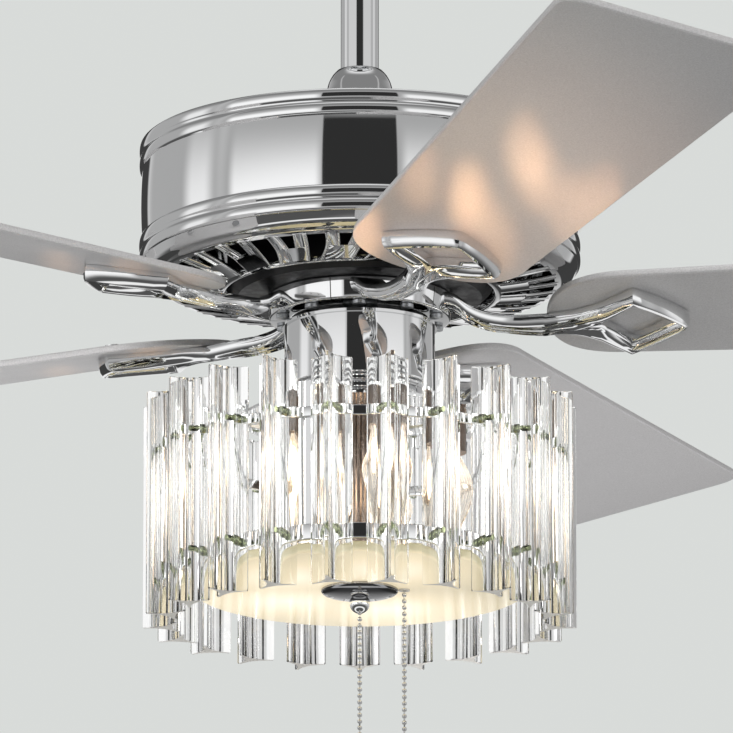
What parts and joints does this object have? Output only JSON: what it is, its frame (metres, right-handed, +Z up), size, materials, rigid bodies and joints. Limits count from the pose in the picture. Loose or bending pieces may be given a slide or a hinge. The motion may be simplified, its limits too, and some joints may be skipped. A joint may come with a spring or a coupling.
{
  "type": "ceiling fan",
  "caption": "Ceiling fan on a short downrod: chrome motor housing with pitched silver blades on open irons, over a drum light of crystal prisms with pull chains.",
  "frame": {"origin": "on the ceiling plane, at the fan's axis, between the two bracket slots", "axes": "+Z up to the ceiling, the fan hangs down to -Z, the picture looks along +Y"},
  "size_m": [1.2308, 1.2886, 0.682],
  "materials": {
    "chrome": "mirror chrome",
    "steel": "zinc plated",
    "black_paint": "black painted casting",
    "copper": "enamelled wire",
    "black_plastic": "moulded",
    "white_plastic": "moulded",
    "bulb_glass": "lit candle bulb",
    "frosted_glass": "frosted, cream",
    "crystal": "clear, polished",
    "blade_silver": "satin silver lacquer"
  },
  "bodies": {
    "ceiling_mount": {"ceiling_bracket": "steel", "canopy": "chrome", "canopy_screws": "chrome"},
    "hanging_frame": {"downrod": "chrome", "coupling_cover": "chrome", "housing_top": "chrome", "housing_band": "chrome", "housing_bottom": "chrome", "switch_plate": "chrome", "switch_housing": "chrome", "light_hub": "chrome", "light_plate": "chrome", "cage_straps": "chrome", "upper_band": "chrome", "lower_band": "chrome", "prism_pins": "chrome", "centre_stem": "chrome", "finial_cap": "chrome", "ball_finial": "chrome", "ball_pin": "steel", "yoke": "steel", "yoke_pin": "steel", "yoke_set_screws": "steel", "housing_screws": "steel", "motor_shaft": "steel", "bearings": "steel", "shaft_spacer": "steel", "shaft_nut": "steel", "stator_core": "steel", "hub_screws": "steel", "stator_windings": "copper", "hanger_ball": "black_plastic", "pull_switch_light": "black_plastic", "pull_switch_fan": "black_plastic", "capacitor": "black_plastic", "lamp_sockets": "white_plastic", "chain_grommet": "white_plastic", "lamp_bulbs": "bulb_glass", "glass_disc": "frosted_glass", "crystal_prisms": "crystal"},
    "rotor": {"rotor_upper_shell": "black_paint", "rotor_lower_shell": "black_paint", "rotor_ring": "steel", "iron_screws": "chrome", "blade_screws": "chrome", "blade_iron_1": "chrome", "blade_iron_2": "chrome", "blade_iron_3": "chrome", "blade_iron_4": "chrome", "blade_iron_5": "chrome", "blade_1": "blade_silver", "blade_2": "blade_silver", "blade_3": "blade_silver", "blade_4": "blade_silver", "blade_5": "blade_silver"},
    "light_pull": {"light_chain": "chrome", "light_knob": "chrome"},
    "fan_pull": {"fan_chain": "chrome", "fan_knob": "chrome"}
  },
  "joints": [
    {"name": "hanger_swing", "type": "hinge", "parent": "ceiling_mount", "child": "hanging_frame", "pos_m": [0, 0, -0.038], "axis": [1, 0, 0], "range_deg": [-12, 12]},
    {"name": "fan_spin", "type": "hinge", "parent": "hanging_frame", "child": "rotor", "pos_m": [0, 0, -0.3], "axis": [0, 0, 1], "continuous": true},
    {"name": "light_pull_slide", "type": "slide", "parent": "hanging_frame", "child": "light_pull", "axis": [0, 0, -1], "range_m": [0, 0.012], "stiffness_N_per_m": 300, "springref_m": -0.01},
    {"name": "fan_pull_slide", "type": "slide", "parent": "hanging_frame", "child": "fan_pull", "axis": [0, 0, -1], "range_m": [0, 0.012], "stiffness_N_per_m": 300, "springref_m": -0.01}
  ]
}
